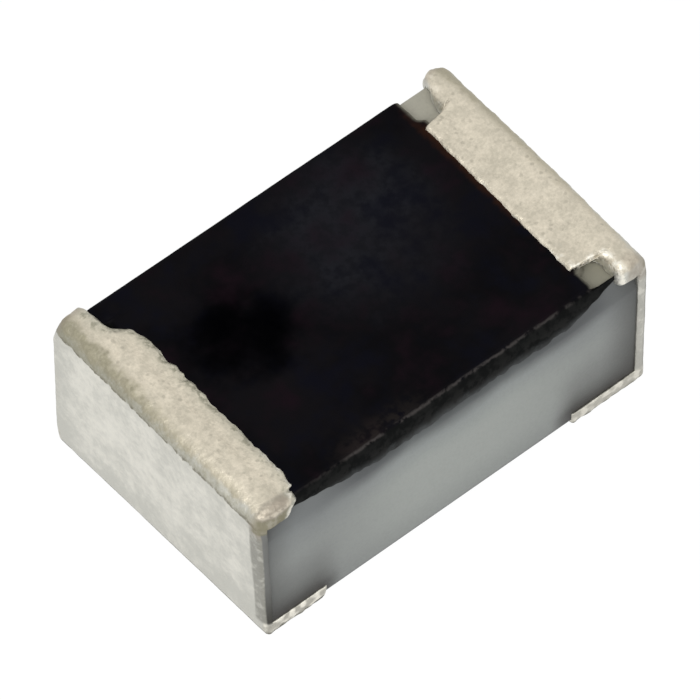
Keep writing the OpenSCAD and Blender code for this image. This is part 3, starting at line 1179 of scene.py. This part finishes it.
@dataclass
class BlackCoat(LaidOn):
    """The black resin over film and ceramic, with lips down the scribed grooves."""

    lip_thick: float = 0.005
    shoulder_round: float = 0.022
    tuck: float = 0.030
    left_tuck: float = 0.825
    left_ear: float = 0.880
    end_rag: float = 0.006
    rag_pitch: float = 0.06
    land_border: Band = (-0.004, 0.012)
    end_feather: float = 0.045
    foot_feather: float = 0.020
    tip_start: float = 0.600
    tip_reach: float = 0.130
    tip_thins: float = 0.97
    tip_lip: Band = (0.01, 0.05)
    lip_share: float = 0.79
    head_share: float = 0.32
    head_stop: float = -0.38
    lip_waves: tuple[Wave, ...] = (Wave(0.09, 0.30, 5.0), Wave(0.12, 0.085, 9.0), Wave(0.08, 0.035, 13.0))
    top_waves: tuple[Wave, ...] = (Wave(0.0022, 0.22, 17.0), Wave(0.0010, 0.06, 29.0))
    top_sink: float = 0.002
    inner_share: float = 0.2
    rows: int = 190
    top_columns: int = 120
    lip_columns: int = 24

    def __post_init__(self) -> None:
        """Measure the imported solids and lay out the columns: their unrolled place and share down the lip."""
        self.coat, self.block = Box.of("resin_coat"), Box.of("ceramic_substrate")
        front, back = self.block.low[1] + self.groove.front_run, self.block.high[1] - self.groove.run
        top = np.linspace(front, back, self.top_columns + 1)
        down = np.linspace(0.0, 1.0, self.lip_columns + 1)[1:] ** 1.2
        depth = self.groove.depth
        self.across = np.concatenate([front - down[::-1] * depth, top, back + down * depth])
        self.lip = np.concatenate([down[::-1], np.zeros_like(top), down])

    def build(self) -> bpy.types.Object:
        """Model the coat and dress it.

        Returns:
            The piece.
        """
        begin, finish = self._ends()
        x = begin + (finish - begin) * np.linspace(0.0, 1.0, self.rows + 1)[:, None]
        drop = self._drop(x)
        base, lean = self._base(x, drop)
        rim_x = np.concatenate([begin, finish[::-1]])
        rim_v = np.concatenate([self.across, self.across[::-1]])
        near_end = rim_distance(x, np.broadcast_to(self.across, x.shape), rim_x, rim_v)
        foot = (1.0 - self.lip) * self.groove.depth + np.zeros_like(x)
        cover = brow(near_end, self.end_feather) * brow(foot, self.foot_feather)
        outer = base + (self._outside(base, drop, lean) - base) * cover[..., None]
        inner = base + (outer - base) * self.inner_share
        bare = (1.0 - ease(near_end, 0.0, self.end_feather)) * (x > 0) * (self.lip == 0)
        piece = closed_sheet("black_coat", outer, inner, {"bare": bare})
        dress(piece, ResinFinish().make(self.coat, self.block))
        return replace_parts(piece, "resin_coat")

    def _ends(self) -> tuple[np.ndarray, np.ndarray]:
        """Find where each column begins and ends along the length.

        Returns:
            First and last X of each column.
        """
        ends = []
        for end, plain, tucked in (
            (End.LEFT, -self.left_ear, -self.left_tuck),
            (End.RIGHT, self.coat.high[0], self.coat.high[0] + self.tuck),
        ):
            front, back = self.land(end)
            inside = ease(self.across, *above(front, self.land_border))
            inside = inside * ease(self.across, *under(back, self.land_border))
            ragged = Wave(self.end_rag, self.rag_pitch, 3.0 + end.value).along(self.across) * (1.0 - inside)
            ends.append(plain + (tucked - plain) * inside + ragged)
        begin, finish = ends
        return begin, finish + self.tip_reach * ease(self.lip, *self.tip_lip) * (self.across < 0)

    def _drop(self, x: np.ndarray) -> np.ndarray:
        """Find how far each point of the wavy lips hangs down, with a point at the front right.

        Args:
            x: X of every grid point.

        Returns:
            Depth under the ceramic's top.
        """
        wave = sum(each.along(x) for each in self.lip_waves)
        tip_stop = self.coat.high[0] + self.tip_reach
        tip = 1.0 - self.tip_thins * np.clip((x - self.tip_start) / (tip_stop - self.tip_start), 0.0, 1.0)
        head = self.head_share + (1.0 - self.head_share) * ease(x, -self.left_ear, self.head_stop)
        hang = self.lip * self.groove.depth * (self.lip_share + wave) * head
        return hang * np.where(self.across < 0, tip, 1.0)

    def _base(self, x: np.ndarray, drop: np.ndarray) -> tuple[np.ndarray, np.ndarray]:
        """Place the grid on the ceramic.

        Args:
            x: X of every grid point.
            drop: Depth of the lips under the ceramic's top.

        Returns:
            Places on the ceramic and the Y of the groove there, counted from the middle.
        """
        run, side, on_lip = self.groove.across(self.across), np.sign(self.across), self.lip > 0
        lean = self.block.high[1] - run + run * np.clip(drop / self.groove.depth, 0.0, 1.0)
        y = np.where(on_lip, side * lean, self.across) - side * self.buried * on_lip
        return np.stack([x, y, self.block.high[2] - drop - self.buried], axis=-1), lean

    def _outside(self, base: np.ndarray, drop: np.ndarray, lean: np.ndarray) -> np.ndarray:
        """Place the grid on the outside of the coat.

        Args:
            base: Places on the ceramic.
            drop: Depth of the lips under the ceramic's top.
            lean: Y of the groove, counted from the middle.

        Returns:
            Places on the coat, before its borders thin out.
        """
        top, crest, on_lip = self.block.high[2], self.coat.high[2], self.lip > 0
        flank = np.where(on_lip, np.sign(self.across) * (lean + self.lip_thick), self.across)
        half = self.block.high[1] - self.groove.across(self.across)
        past = 1.0 - (half + self.lip_thick - np.abs(self.across)) / self.shoulder_round
        fall = self.shoulder_round * (1.0 - np.sqrt(1.0 - np.clip(past, 0.0, 1.0) ** 2))
        wavy = sum(each.over(base) for each in self.top_waves)
        shoulder = crest - top - self.shoulder_round
        down_lip = top + shoulder - (drop + shoulder) * self.lip
        height = np.where(on_lip, down_lip, crest - self.top_sink + wavy - fall)
        return np.stack([base[..., 0], flank, height], axis=-1)


@dataclass(frozen=True)
class Underlayer:
    """A thin layer between ceramic and tin, by its shares of the whole plating."""

    name: str
    node: str
    slot: str
    start: float
    stop: float
    finish: LayerFinish


UNDERLAYERS = (
    Underlayer(
        "edge_paste", "edge_electrode", "edge", 0.05, 0.20,
        LayerFinish(rgb(0.30, 0.29, 0.27), rgb(0.22, 0.21, 0.20), 1.0, 0.55),
    ),
    Underlayer(
        "nickel_under", "nickel_barrier", "nickel", 0.25, 0.40,
        LayerFinish(rgb(0.52, 0.50, 0.44), rgb(0.44, 0.42, 0.37), 1.0, 0.35),
    ),
)


@dataclass
class Terminal(LaidOn):
    """One tin plated end: land and strip on top, end face, soldering pad and laps on the long sides.

    It is modelled at +X from columns across the width, and mirrored for the left end. Each column runs from
    the rim on top over the end face to the pad.
    """

    end: End
    land_reach: float
    rim_rag: float
    rim_round: float
    rim_skew: float
    back_soft: float
    rim_lump: float
    back_trim: float
    front_round: float
    low_round: tuple[float, float, float]
    end_lap: float
    back_taper: float
    front_fill: float
    pad_growth: float
    corner_cut: float
    corner_fill: float
    skew: float
    finish: TinFinish
    strip_reach: float = 0.158
    strip_rag: float = 0.006
    rag_pitches: tuple[float, float, float] = (0.080, 0.036, 0.06)
    land_border: Band = (-0.003, 0.010)
    cut_back: Band = (0.34, 0.50)
    cut_front: Band = (0.50, 0.62)
    taper_start: float = 0.50
    fill_front: Band = (0.30, 0.40)
    land_drop: float = 0.012
    side_lap: float = 0.030
    pad_lap: float = 0.042
    pad_inset: float = 0.004
    pad_rag: float = 0.005
    back_round: float = 0.014
    front_crest: tuple[float, float, float] = (0.030, 0.000, 0.030)
    top_round: tuple[float, float, float] = (0.070, 0.055, 0.070)
    step_round: float = 0.026
    side_round: float = 0.012
    pad_round: float = 0.020
    block_round: float = 0.012
    upper_zone: Band = (0.70, 0.80)
    lower_zone: Band = (0.03, 0.14)
    crest_zone: Band = (0.0, 0.6)
    drop_zone: Band = (-0.02, 0.04)
    turn_zone: Band = (-0.05, 0.03)
    skew_zone: Band = (0.10, 0.75)
    skew_fades: float = 0.86
    rim_width: float = 0.075
    bead_pitch: float = 0.030
    bead_height: float = 0.0060
    bead_sink: float = 0.0040
    bead_top: Band = (0.060, 0.090)
    broad_pitch: float = 0.16
    knob_pitch: float = 0.045
    grit_pitch: float = 0.018
    plain_lumps: tuple[float, float, float] = (0.0012, 0.0008, 0.0004)
    plain_sink: float = 0.0012
    edge_lumps: tuple[float, float] = (0.0022, 0.0016)
    edge_sink: float = 0.001
    rim_grit: float = 0.0035
    border_lumps: tuple[float, float] = (0.0028, 0.0010)
    edge_depth: Band = (0.080, 0.050)
    edge_reach: Band = (0.10, 0.04)
    rim_fade: float = 0.035
    border_fade: float = 0.030
    tin_from: float = 0.45
    rows_top: int = 46
    rows_end: int = 92
    rows_low: int = 44
    columns: int = 176
    lap_columns: int = 12
    thinned: int = 3

    def __post_init__(self) -> None:
        """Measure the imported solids, lay out the grid and find the plating's rims."""
        self.tin, self.block = Box.of(f"tin_plating_{self.end.word}"), Box.of("ceramic_substrate")
        reach = sorted((abs(self.tin.low[0]), abs(self.tin.high[0])))
        self.pad_start, self.outside = reach
        self.low_corner = np.array([-self.outside, *self.tin.low[1:]])
        self.high_corner = np.array([self.outside, *self.tin.high[1:]])
        self.y, self.lap = self._columns()
        self.run, self.share = self._rows()
        self.inside = self._inside()
        self.rim_x, self.pad_x = self._rims()

    def build(self) -> bpy.types.Object:
        """Model the plating and the layers under it, and dress them.

        Returns:
            The tin's piece.
        """
        base, outer, normal = self._base(), *self._smooth()
        near_rim, near_side, near_pad = self._distances(base)
        slope = self.step_round + (self.rim_round - self.step_round) * self.inside
        cover = brow(near_rim, slope) * brow(near_side, self.side_round) * brow(near_pad, self.pad_round)
        beads = ripple(outer, self.bead_pitch, 91.0 + self.end.value)
        lumps = self._lumps(outer, near_rim, np.minimum(near_side, near_pad))
        on_pad = 1.0 - ease(outer[..., 2], *self.bead_top)
        lumps = lumps + on_pad * normal[..., 1] ** 2 * (self.bead_height * beads - self.bead_sink)
        outer = np.clip(outer + normal * lumps[..., None], self.low_corner, self.high_corner)
        outer = base + (outer - base) * cover[..., None]
        mirrored = np.array([self.end.value, 1.0, 1.0])
        base, outer = base * mirrored, outer * mirrored
        for layer in UNDERLAYERS:
            self._underlayer(layer, base, outer)
        inner = base + (outer - base) * self.tin_from
        marks = {"rim": 1.0 - ease(near_rim, 0.0, self.rim_width), "bead": 0.5 + 0.5 * beads}
        piece = closed_sheet(f"tin_end_{self.end.word}", outer, inner, marks)
        dress(piece, self.finish.make(f"matte_tin_{self.end.word}", self.tin))
        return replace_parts(piece, f"tin_plating_{self.end.word}")

    def _underlayer(self, layer: Underlayer, base: np.ndarray, outer: np.ndarray) -> None:
        """Model one of the thin layers between ceramic and tin.

        Args:
            layer: What the layer is and where it lies.
            base: Places on the ceramic.
            outer: Places on the outside of the tin.
        """
        grid = np.ix_(*(np.unique(np.r_[0 : count : self.thinned, count - 1]) for count in base.shape[:2]))
        low, depth = base[grid], outer[grid] - base[grid]
        name = f"{layer.name}_{self.end.word}"
        piece = closed_sheet(name, low + depth * layer.stop, low + depth * layer.start, {})
        dress(piece, layer.finish.make(name))
        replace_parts(piece, f"{layer.node}_{self.end.word}")
        log.info("%s: %d faces", piece.name, len(piece.data.polygons))

    def _columns(self) -> tuple[np.ndarray, np.ndarray]:
        """Lay out the columns across the width and down the side laps.

        Returns:
            Y of each column and its share down the lap.
        """
        half = self.tin.high[1]
        middle = np.linspace(-half, half, self.columns + 1)
        down = 1.0 - (1.0 - np.linspace(0.0, 1.0, self.lap_columns + 1)[1:]) ** 1.2
        y = np.concatenate([np.full_like(down, -half), middle, np.full_like(down, half)])
        lap = np.concatenate([down[::-1], np.zeros_like(middle), down])
        return y, lap

    def _rows(self) -> tuple[np.ndarray, np.ndarray]:
        """Lay out the rows from the land over the end face to the pad.

        Returns:
            Index of each row's run, 0 on top, 1 on the end face and 2 below, and the row's share along it.
        """
        top = np.linspace(0.0, 1.0, self.rows_top + 1) ** 1.3
        face = np.linspace(0.0, 1.0, self.rows_end + 1)[1:]
        low = 1.0 - (1.0 - np.linspace(0.0, 1.0, self.rows_low + 1)[1:]) ** 1.3
        run = np.repeat([0, 1, 2], [len(top), len(face), len(low)])
        return run, np.concatenate([top, face, low])

    def _inside(self) -> np.ndarray:
        """Tell the columns of the printed land from those of the strips beside it.

        Returns:
            1 on the land, 0 beside it.
        """
        front, back = self.land(self.end)
        back -= self.back_trim
        from_front = ease(self.y, *above(front, self.land_border))
        past_back = ease(self.y, back - self.back_soft, back - self.land_border[0])
        return from_front * (1.0 - past_back) * (self.lap == 0)

    def _rims(self) -> tuple[np.ndarray, np.ndarray]:
        """Find where the plating stops inboard.

        Returns:
            Inboard X of the top rim and of the pad.
        """
        y, inside = self.y, self.inside
        land = self.outside - self.land_reach + self.rim_skew * y
        land = land + self.corner_cut * (ease(y, *self.cut_back) + 0.7 * ease(-y, *self.cut_front))
        tapered = self.back_taper * ease(y, self.taper_start, self.tin.high[1])
        strip = self.outside - self.strip_reach + tapered
        strip = strip - self.front_fill * ease(-y, *self.fill_front) * (1.0 - self.lap)
        from_land = self.land(self.end)[0] - y
        strip = strip - self.corner_fill * (1.0 - brow(from_land, self.corner_fill)) * (y < 0)
        seed = 40.0 + 7.0 * self.end.value
        broad, narrow, at_pad = self.rag_pitches
        rag = Wave(0.7, broad, seed + 1.0).along(y) + Wave(0.7, narrow, seed + 3.0).along(y)
        rag = rag * (self.rim_rag * inside + self.strip_rag * (1.0 - inside))
        rim = strip + (land - strip) * inside + rag
        pad = self.pad_start + self.pad_inset + Wave(self.pad_rag, at_pad, seed + 9.0).along(y)
        return rim, pad - self.pad_growth

    def _wrapped(self, y: np.ndarray, corner: np.ndarray, low: float, laps: tuple[float, ...]) -> np.ndarray:
        """Lay the grid along the C that every column runs along.

        Args:
            y: Y of each column.
            corner: Corner of the end face and the top, of which X and Z count.
            low: Z of the underside.
            laps: Depths of the side laps on top, at the end and below.

        Returns:
            Places of shape (rows, columns, 3), with sharp edges.
        """
        high, end = corner[2] - self.lap * laps[0], corner[0] - self.lap * laps[1]
        floor = low + self.lap * laps[2]
        corners = ((self.rim_x, y, high), (end, y, high), (end, y, floor), (self.pad_x, y, floor))
        return along_runs([np.stack(places, axis=-1) for places in corners], self.run, self.share)

    def _depths(self) -> tuple[float, float, float]:
        """Measure the side laps from the plating's outer planes.

        Returns:
            Their depths on top, at the end and below.
        """
        on_top = self.tin.high[2] - self.block.high[2] + self.side_lap
        at_end = self.outside - self.block.high[0] + self.end_lap
        below = self.block.low[2] - self.tin.low[2] + self.pad_lap
        return on_top, at_end, below

    def _smooth(self) -> tuple[np.ndarray, np.ndarray]:
        """Place the grid on the outside of the plating, without its lumps.

        Returns:
            The places and the normals there.
        """
        sharp = self._wrapped(self.y, self.high_corner, self.tin.low[2], self._depths())
        upper, lower = ease(sharp[..., 2:], *self.upper_zone), 1.0 - ease(sharp[..., 2:], *self.lower_zone)
        upright = np.where(sharp[..., 1:2] < 0, self.front_round, self.back_round) * np.ones(3)
        to_front = ease(-sharp[..., 1:2], *self.crest_zone)
        crest = np.array(self.top_round) + to_front * np.array(self.front_crest)
        radius = upright * (1.0 - upper - lower) + crest * upper + np.array(self.low_round) * lower
        outer, normal = rounded(sharp, self.low_corner, self.high_corner, radius)
        strip = above(self.outside - self.strip_reach, self.drop_zone)
        lowered = self.land_drop * (1.0 - ease(outer[..., 0], *strip))
        outer[..., 2] -= lowered * (self.run == 0)[:, None]
        turned = ease(outer[..., 0], *above(self.block.high[0], self.turn_zone))
        lean = self.skew * (1.0 - self.skew_fades * ease(outer[..., 2], *self.skew_zone))
        outer[..., 0] -= lean * (self.tin.high[1] - outer[..., 1]) * turned
        return outer, normal

    def _base(self) -> np.ndarray:
        """Place the grid on the ceramic, sunk in a little.

        Returns:
            The places.
        """
        y = self.y * self.block.high[1] / self.tin.high[1]
        laps = (self.side_lap, self.end_lap, self.pad_lap)
        sharp = self._wrapped(y, self.block.high, self.block.low[2], laps)
        far = np.array([-self.outside, *self.block.low[1:]])
        base, inward = rounded(sharp, far, self.block.high, np.full(3, self.block_round))
        up_groove = (base[..., 2] - self.block.high[2] + self.groove.depth) / self.groove.depth
        inset = self.groove.across(base[..., 1]) * np.clip(up_groove, 0.0, 1.0)
        base[..., 1] *= 1.0 - inset / self.block.high[1]
        return base - inward * self.buried

    def _distances(self, base: np.ndarray) -> tuple[np.ndarray, np.ndarray, np.ndarray]:
        """Measure how far the grid's points lie from the plating's borders.

        Args:
            base: Places on the ceramic.

        Returns:
            Distances from the top rim, the side laps' border and the pad's inboard end, or 1 far from it.
        """
        on_top, at_end, _ = self._depths()
        unrolled = np.where(self.lap > 0, np.sign(self.y) * (np.abs(self.y) + self.lap * on_top), self.y)
        near_rim = np.full(base.shape[:2], 1.0)
        upper = self.run == 0
        flat = np.broadcast_to(unrolled, near_rim[upper].shape)
        near_rim[upper] = rim_distance(base[upper][..., 0], flat, self.rim_x, unrolled)
        near_side = np.where(self.lap > 0, (1.0 - self.lap) * at_end, 1.0) + np.zeros_like(near_rim)
        near_pad = np.where((self.run == 2)[:, None], np.abs(base[..., 0] - self.pad_x), 1.0)
        return near_rim, near_side, near_pad

    def _lumps(self, places: np.ndarray, near_rim: np.ndarray, near_border: np.ndarray) -> np.ndarray:
        """Heights of the plating's lumps.

        Args:
            places: Places on the smooth plating.
            near_rim: Distance from the top rim.
            near_border: Distance from the border of the side laps and the pad.

        Returns:
            Heights in millimetres along the normals.
        """
        seed = 60.0 + 5.0 * self.end.value
        broad = ripple(places, self.broad_pitch, seed)
        knobs = ripple(places, self.knob_pitch, seed + 11.0)
        grit = ripple(places, self.grit_pitch, seed + 23.0)
        at_edge = ease(places[..., 2], *under(self.tin.high[2], self.edge_depth))
        at_edge = at_edge * ease(places[..., 0], *under(self.outside, self.edge_reach))
        swell, knob, grain = self.plain_lumps
        height = swell * broad + knob * knobs + grain * grit - self.plain_sink
        knob, grain = self.edge_lumps
        height += at_edge * (knob * knobs + grain * grit - self.edge_sink)
        height += np.exp(-near_rim / self.rim_fade) * (self.rim_lump * knobs + self.rim_grit * grit)
        knob, grain = self.border_lumps
        return height + np.exp(-near_border / self.border_fade) * (knob * knobs + grain * grit)


@dataclass
class PrintedLayers:
    """Film, glass and silver prints under coat and plating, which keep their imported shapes."""

    silver: LayerFinish = LayerFinish(rgb(0.62, 0.60, 0.56), rgb(0.48, 0.46, 0.42), 1.0, 0.50)
    film: LayerFinish = LayerFinish(rgb(0.030, 0.032, 0.038), rgb(0.050, 0.052, 0.058), 0.0, 0.60)
    glaze: LayerFinish = LayerFinish(rgb(0.050, 0.130, 0.105), rgb(0.080, 0.180, 0.150), 0.0, 0.12)

    def dress(self) -> int:
        """Give every printed node its finish.

        Returns:
            Number of nodes dressed.
        """
        silver = self.silver.make("silver_print")
        layers = {"resistive_film": self.film.make("ruthenium_film")}
        layers["glass_coat"] = self.glaze.make("glass_glaze")
        for end in End:
            layers[f"top_electrode_{end.word}"] = silver
            layers[f"bottom_electrode_{end.word}"] = silver
        for node, finish in layers.items():
            dress(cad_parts[node], finish)
        return len(layers)


@dataclass
class PhotoCamera:
    """The camera of the photograph, far away with a long lens."""

    azimuth: float = -39.98
    elevation: float = 54.78
    pixels_per_mm: float = 253.6
    focal_pixels: float = 10000.0
    image_pixels: float = 700.0
    sensor_mm: float = 36.0
    clip_near: float = 0.5
    clip_far: float = 1000.0
    aim: tuple[float, float, float] = (0.0, 0.0, 0.4)
    aim_right_pixels: float = 2.2
    aim_down_pixels: float = 1.1

    def place(self) -> None:
        """Make the camera and look through it."""
        turn, tilt = math.radians(self.azimuth), math.radians(self.elevation)
        right = Vector((math.cos(turn), math.sin(turn), 0.0))
        back = Vector((math.sin(turn) * math.cos(tilt), -math.cos(turn) * math.cos(tilt), math.sin(tilt)))
        up = back.cross(right)
        shift = up * self.aim_down_pixels - right * self.aim_right_pixels
        target = Vector(self.aim) + shift / self.pixels_per_mm
        distance = self.focal_pixels / self.pixels_per_mm
        data = bpy.data.cameras.new("photo_camera")
        data.sensor_width = self.sensor_mm
        data.lens = self.sensor_mm * self.focal_pixels / self.image_pixels
        data.clip_start, data.clip_end = self.clip_near * MM, self.clip_far * MM
        camera = bpy.data.objects.new("photo_camera", data)
        camera.location = (target + back * distance) * MM
        camera.rotation_euler = back.to_track_quat("Z", "Y").to_euler()
        bpy.context.scene.collection.objects.link(camera)
        bpy.context.scene.camera = camera


@dataclass
class Studio:
    """White floor and backdrop with soft light from the front left."""

    ambient: float = 0.62
    floor_half: float = 60.0
    floor_gap: float = 0.0005
    floor_white: float = 0.955
    floor_paper: float = 0.86
    floor_glow: float = 1.03
    lamp_places: tuple[tuple[float, float, float], ...] = ((-8.0, -3.5, 8.5), (2.0, -8.0, 8.0))
    lamp_sizes: tuple[float, ...] = (6.0, 5.0)
    lamp_watts: tuple[float, ...] = (0.00048, 0.00012)

    def build(self) -> None:
        """Set up world, floor, lamps and view."""
        bpy.context.scene.view_settings.view_transform = "Standard"
        self._world()
        self._floor()
        for index, place in enumerate(self.lamp_places):
            self._lamp(index, Vector(place))

    @staticmethod
    def _seen(g: Graph) -> Shade:
        """Tell the rays that should meet plain white from the rest.

        Args:
            g: The graph of floor or world.

        Returns:
            1 for camera, glossy and transmission rays.
        """
        path = g.node("ShaderNodeLightPath", {}, {})
        outputs = path.socket.node.outputs
        rays = [Shade(g, outputs[name]) for name in ("Is Camera Ray", "Is Glossy Ray", "Is Transmission Ray")]
        return rays[0] | rays[1] | rays[2]

    def _world(self) -> None:
        """Make the white backdrop that also gives the ambient light."""
        world = bpy.data.worlds.new("white_studio")
        world.use_nodes = True
        g = Graph(world.node_tree)
        soft = g.node("ShaderNodeBackground", {}, {"Color": grey(1.0), "Strength": self.ambient})
        white = g.node("ShaderNodeBackground", {}, {"Color": grey(1.0), "Strength": 1.0})
        both = g.node("ShaderNodeMixShader", {}, {0: self._seen(g), 1: soft, 2: white})
        g.node("ShaderNodeOutputWorld", {}, {"Surface": both})
        bpy.context.scene.world = world

    def _floor(self) -> None:
        """Lay the pale floor just under the pads."""
        bm = bmesh.new()
        bmesh.ops.create_grid(bm, x_segments=1, y_segments=1, size=self.floor_half * MM)
        bmesh.ops.translate(bm, verts=bm.verts, vec=(0.0, 0.0, -self.floor_gap * MM))
        mesh = bpy.data.meshes.new("floor")
        bm.to_mesh(mesh)
        bm.free()
        floor = bpy.data.objects.new("floor", mesh)
        bpy.context.scene.collection.objects.link(floor)
        made, g = material("white_floor")
        paper = g.node("ShaderNodeBsdfDiffuse", {}, {"Color": grey(self.floor_paper)})
        glow = g.node("ShaderNodeEmission", {}, {"Color": grey(1.0), "Strength": self.floor_glow})
        both = g.node("ShaderNodeMixShader", {}, {0: self._seen(g) * self.floor_white, 1: paper, 2: glow})
        g.node("ShaderNodeOutputMaterial", {}, {"Surface": both})
        dress(floor, made)

    def _lamp(self, index: int, place: Vector) -> None:
        """Hang one soft lamp that faces the chip.

        Args:
            index: Number of the lamp.
            place: Place of the lamp in millimetres.
        """
        data = bpy.data.lights.new(f"soft_lamp_{index}", "AREA")
        data.shape = "DISK"
        data.size = self.lamp_sizes[index] * MM
        data.energy = self.lamp_watts[index]
        lamp = bpy.data.objects.new(f"soft_lamp_{index}", data)
        lamp.location = place * MM
        lamp.rotation_euler = place.to_track_quat("Z", "Y").to_euler()
        bpy.context.scene.collection.objects.link(lamp)


def left_terminal() -> Terminal:
    """Describe the left end, with its lumpy rim, skewed face and narrow border on the front side.

    Returns:
        The end, not built yet.
    """
    tin = TinFinish(
        edge_shade_share=0.82, rim_shade_share=0.55, strip_start=0.077, strip_share=0.8, tab_shade_share=0.8, bead_highlight_share=0.95,
        lap_share=1.0, outline_share=0.0,
    )
    return Terminal(
        End.LEFT, land_reach=0.262, rim_rag=0.010, rim_round=0.055, rim_skew=0.0, rim_lump=0.011,
        back_soft=0.085, back_trim=0.0, back_taper=0.0, front_round=0.028, front_fill=0.062,
        low_round=(0.040, 0.024, 0.070), end_lap=0.001, pad_growth=0.030, corner_cut=0.030,
        corner_fill=0.002, skew=0.0255, finish=tin,
    )


def right_terminal() -> Terminal:
    """Describe the right end, with bare ceramic corners beside its land.

    Returns:
        The end, not built yet.
    """
    tin = TinFinish(
        edge_shade_share=0.6, rim_shade_share=0.0, strip_start=0.012, strip_share=0.45, tab_shade_share=0.65, bead_highlight_share=0.55,
        lap_share=0.0, outline_share=0.8,
    )
    return Terminal(
        End.RIGHT, land_reach=0.292, rim_rag=0.006, rim_round=0.026, rim_skew=0.020, rim_lump=0.0075,
        back_soft=0.030, back_trim=0.020, back_taper=0.040, front_round=0.045, front_fill=0.0,
        low_round=(0.034, 0.034, 0.046), end_lap=0.019, pad_growth=0.006, corner_cut=0.0,
        corner_fill=0.040, skew=0.0, finish=tin,
    )


def main() -> None:
    """Build the chip and its studio, and log the faces of each piece."""
    logging.basicConfig(level=logging.INFO, format="%(name)s: %(message)s")
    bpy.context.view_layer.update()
    PhotoCamera().place()
    Studio().build()
    for maker in (CeramicBlock(), BlackCoat(), left_terminal(), right_terminal()):
        piece = maker.build()
        log.info("%s: %d faces", piece.name, len(piece.data.polygons))
    log.info("printed layers dressed: %d", PrintedLayers().dress())


if __name__ == "__main__":
    main()
